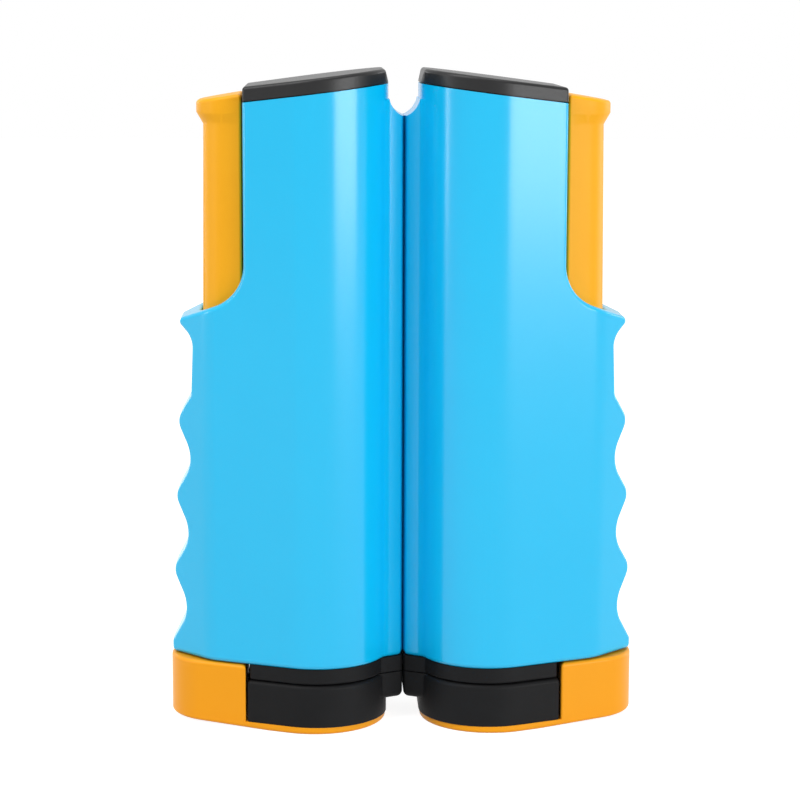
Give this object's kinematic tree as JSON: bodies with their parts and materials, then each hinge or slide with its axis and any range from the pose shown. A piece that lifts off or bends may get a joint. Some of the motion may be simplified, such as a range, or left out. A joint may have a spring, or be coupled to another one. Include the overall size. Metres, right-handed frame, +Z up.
{
  "type": "table tennis net clamp",
  "caption": "Retractable table tennis net, closed: two spring clamp posts with the net rolled on spools inside.",
  "frame": {"origin": "middle of the footprint, at the underside of the floor plates", "axes": "+Z up along the posts, +X from the left post to the right post, -Y towards the viewer of the picture"},
  "size_m": [0.125, 0.048, 0.1744],
  "materials": {
    "shell": "satin, moulded sky blue",
    "cap": "fine matte black",
    "inner_plastic": "plain black",
    "handle": "fine matte orange",
    "arm": "satin orange",
    "pad": "soft black",
    "steel": "zinc plated or spring steel",
    "net": "knitted black mesh",
    "tape": "white woven tape",
    "cord": "hemmed black edge"
  },
  "bodies": {
    "left_post": {"left_housing": "shell", "left_top_cap": "cap", "left_base_plate": "inner_plastic", "left_base_screws": "steel", "left_spool_axle": "steel", "left_clock_spring": "steel", "left_upper_jaw_pad": "pad", "left_return_spring": "steel", "net_span": "net", "net_top_tape": "tape", "net_bottom_cord": "cord"},
    "left_clamp": {"left_handle": "handle", "left_jaw_arm": "arm", "left_arm_screw": "steel", "left_jaw_pad": "pad"},
    "left_spool": {"left_spool": "inner_plastic", "left_spring_cover": "inner_plastic", "left_net_roll": "net"},
    "right_post": {"right_housing": "shell", "right_top_cap": "cap", "right_base_plate": "inner_plastic", "right_base_screws": "steel", "right_spool_axle": "steel", "right_clock_spring": "steel", "right_upper_jaw_pad": "pad", "right_return_spring": "steel"},
    "right_clamp": {"right_handle": "handle", "right_jaw_arm": "arm", "right_arm_screw": "steel", "right_jaw_pad": "pad"},
    "right_spool": {"right_spool": "inner_plastic", "right_spring_cover": "inner_plastic", "right_net_roll": "net"}
  },
  "joints": [
    {"name": "post_slide", "type": "slide", "parent": "left_post", "child": "right_post", "axis": [1, 0, 0], "range_m": [0, 1.6], "stiffness_N_per_m": 1, "springref_m": -2, "deforming": ["net_span", "net_top_tape", "net_bottom_cord"]},
    {"name": "left_clamp_slide", "type": "slide", "parent": "left_post", "child": "left_clamp", "axis": [0, 0, -1], "range_m": [0, 0.045], "stiffness_N_per_m": 500, "springref_m": -0.03, "deforming": ["left_return_spring"]},
    {"name": "left_spool_spin", "type": "hinge", "parent": "left_post", "child": "left_spool", "pos_m": [-0.0228, 0, 0.09], "axis": [0, 0, -1], "range_deg": [0, 4500]},
    {"name": "right_clamp_slide", "type": "slide", "parent": "right_post", "child": "right_clamp", "axis": [0, 0, -1], "range_m": [0, 0.045], "stiffness_N_per_m": 500, "springref_m": -0.03, "deforming": ["right_return_spring"]},
    {"name": "right_spool_spin", "type": "hinge", "parent": "right_post", "child": "right_spool", "pos_m": [0.0228, 0, 0.09], "axis": [0, 0, -1], "range_deg": [0, 4500]}
  ],
  "couplings": [
    {"joint": "left_spool_spin", "follows": "post_slide", "rad_per_m": 48.3},
    {"joint": "right_spool_spin", "follows": "post_slide", "rad_per_m": 48.3}
  ]
}
